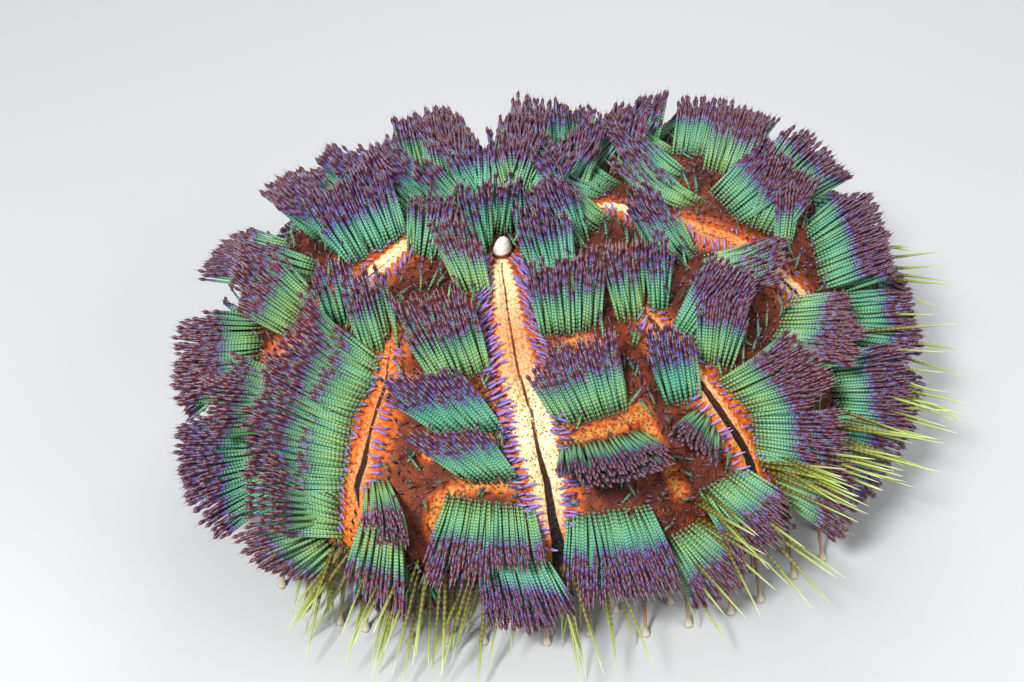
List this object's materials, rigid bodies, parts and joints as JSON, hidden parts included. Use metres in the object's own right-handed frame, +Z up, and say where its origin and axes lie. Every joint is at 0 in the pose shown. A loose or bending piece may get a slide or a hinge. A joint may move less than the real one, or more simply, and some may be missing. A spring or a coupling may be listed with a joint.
{
  "type": "fire urchin",
  "caption": "Life-size fire urchin: a low soft domed body in wedge-shaped sectors, clad in leaning combs of banded spines, with long rim spines and hoofed walking spines below.",
  "frame": {"origin": "on the floor, under the middle of the whole animal", "axes": "+Z up from the floor, -Y towards the side that the picture shows, +X to the viewer's right, along the animal's greatest width"},
  "size_m": [0.214, 0.1978, 0.0794],
  "materials": {
    "spined_skin": "satin skin over plates, under glossy banded spines",
    "bare_skin": "satin",
    "tooth": "glossy"
  },
  "bodies": {
    "root": {"interambulacrum_front": "spined_skin", "ambulacrum_front_right": "spined_skin", "interambulacrum_right": "spined_skin", "ambulacrum_back_right": "spined_skin", "interambulacrum_back_right": "spined_skin", "ambulacrum_back": "spined_skin", "interambulacrum_back_left": "spined_skin", "ambulacrum_left": "spined_skin", "interambulacrum_left": "spined_skin", "ambulacrum_front_left": "spined_skin", "apical_disc": "bare_skin", "peristome": "bare_skin", "tooth_1": "tooth", "tooth_2": "tooth", "tooth_3": "tooth", "tooth_4": "tooth", "tooth_5": "tooth"}
  },
  "joints": []
}
